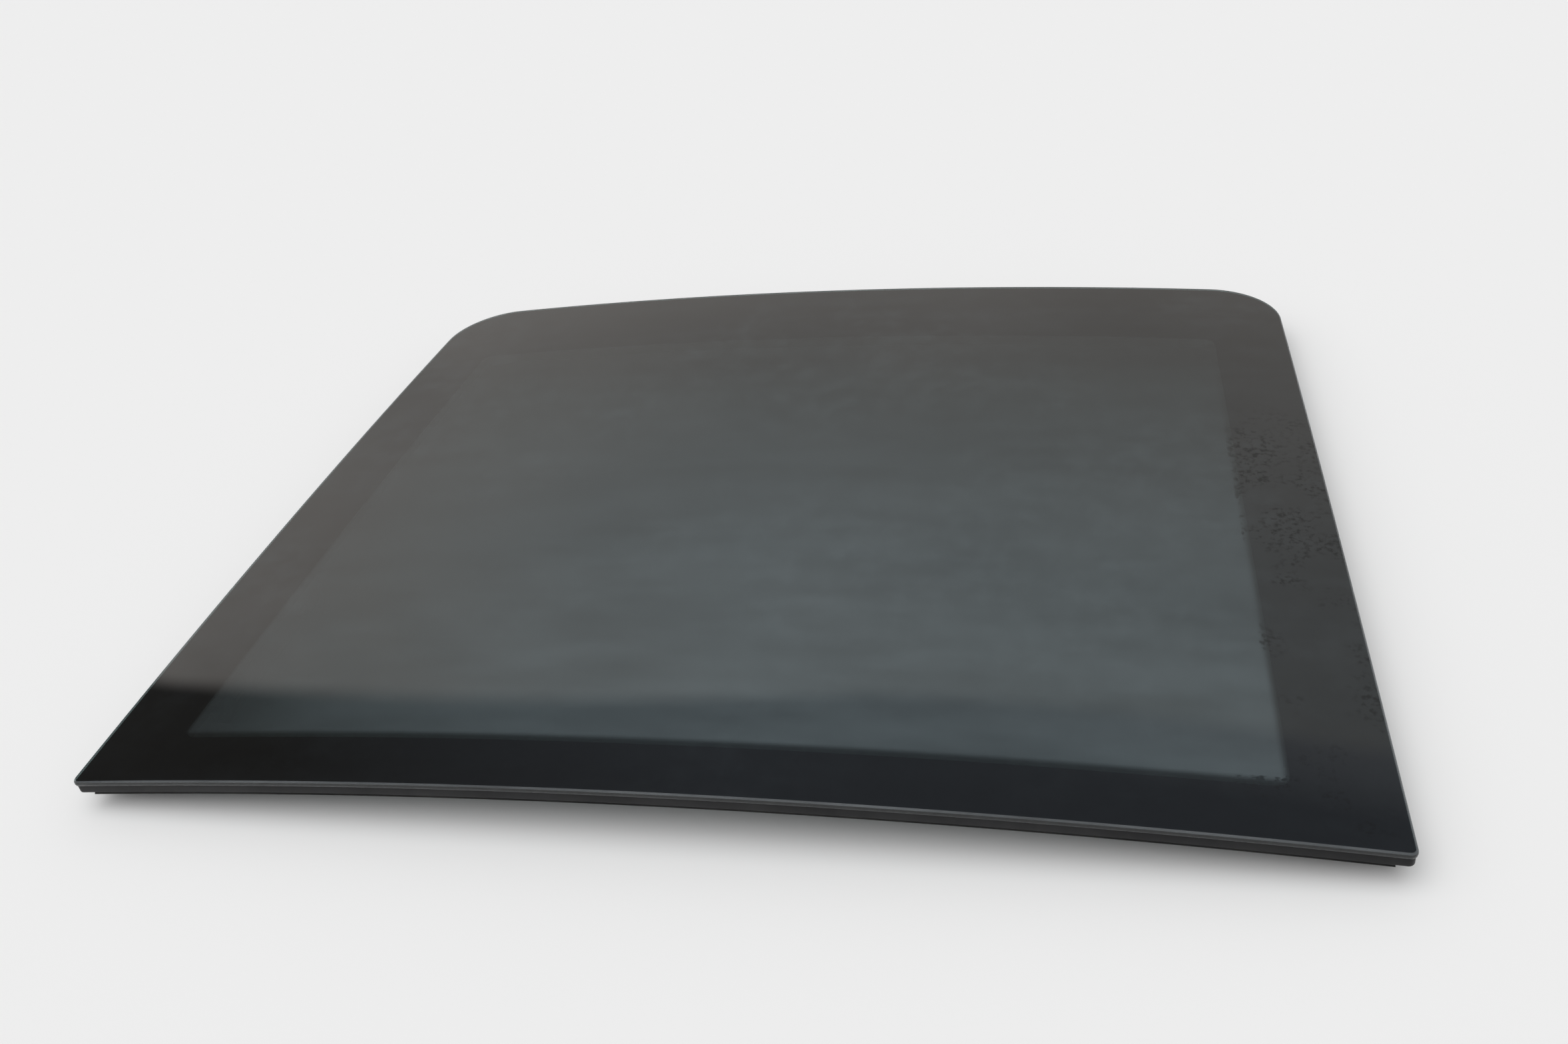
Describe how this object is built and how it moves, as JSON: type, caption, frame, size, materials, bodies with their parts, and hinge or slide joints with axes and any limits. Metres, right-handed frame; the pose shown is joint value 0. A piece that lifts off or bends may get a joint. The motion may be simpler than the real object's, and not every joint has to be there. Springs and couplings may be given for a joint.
{
  "type": "glass roof vent cover",
  "caption": "Tilt-and-slide roof vent cover: a crowned tinted glass pane with an edge moulding and seals, glued to a pressed steel frame with brackets and swivelling guide shoes.",
  "frame": {"origin": "middle of the footprint, on the plane that the brackets rest on", "axes": "+Z towards the outside face of the glass, +Y towards the front edge with the large corner radii, +X to the right seen from the rear"},
  "size_m": [0.9996, 0.808, 0.0594],
  "materials": {
    "tinted_glass": "polished tinted safety glass with a ground edge",
    "moulding": "satin moulded polyurethane",
    "seal_rubber": "matt rubber",
    "adhesive": "cured adhesive",
    "frame_coating": "black dip coating on pressed steel",
    "plated_steel": "zinc plating",
    "screw_steel": "black zinc flake coating",
    "shoe_plastic": "natural acetal plastic"
  },
  "bodies": {
    "cover": {"glass_pane": "tinted_glass", "edge_moulding": "moulding", "perimeter_seal": "seal_rubber", "rear_lip_seal": "seal_rubber", "adhesive_bead": "adhesive", "front_rail": "frame_coating", "rear_rail": "frame_coating", "left_side_rail": "frame_coating", "right_side_rail": "frame_coating", "front_stiffener": "frame_coating", "rear_corner_plates": "frame_coating", "splice_plates": "frame_coating", "left_lift_bracket": "plated_steel", "right_lift_bracket": "plated_steel", "left_front_bracket": "plated_steel", "right_front_bracket": "plated_steel", "bracket_screws": "screw_steel", "screw_washers": "plated_steel", "weld_nuts": "plated_steel", "stop_buffers": "seal_rubber", "left_shoe_pin": "plated_steel", "right_shoe_pin": "plated_steel", "left_pin_clip": "screw_steel", "right_pin_clip": "screw_steel"},
    "left_shoe": {"left_guide_shoe": "shoe_plastic"},
    "right_shoe": {"right_guide_shoe": "shoe_plastic"}
  },
  "joints": [
    {"name": "left_shoe_swivel", "type": "hinge", "parent": "cover", "child": "left_shoe", "pos_m": [-0.43896, 0.292, 0.0085], "axis": [1, 0, 0], "range_deg": [-3, 7]},
    {"name": "right_shoe_swivel", "type": "hinge", "parent": "cover", "child": "right_shoe", "pos_m": [0.43896, 0.292, 0.0085], "axis": [1, 0, 0], "range_deg": [-3, 7]}
  ]
}
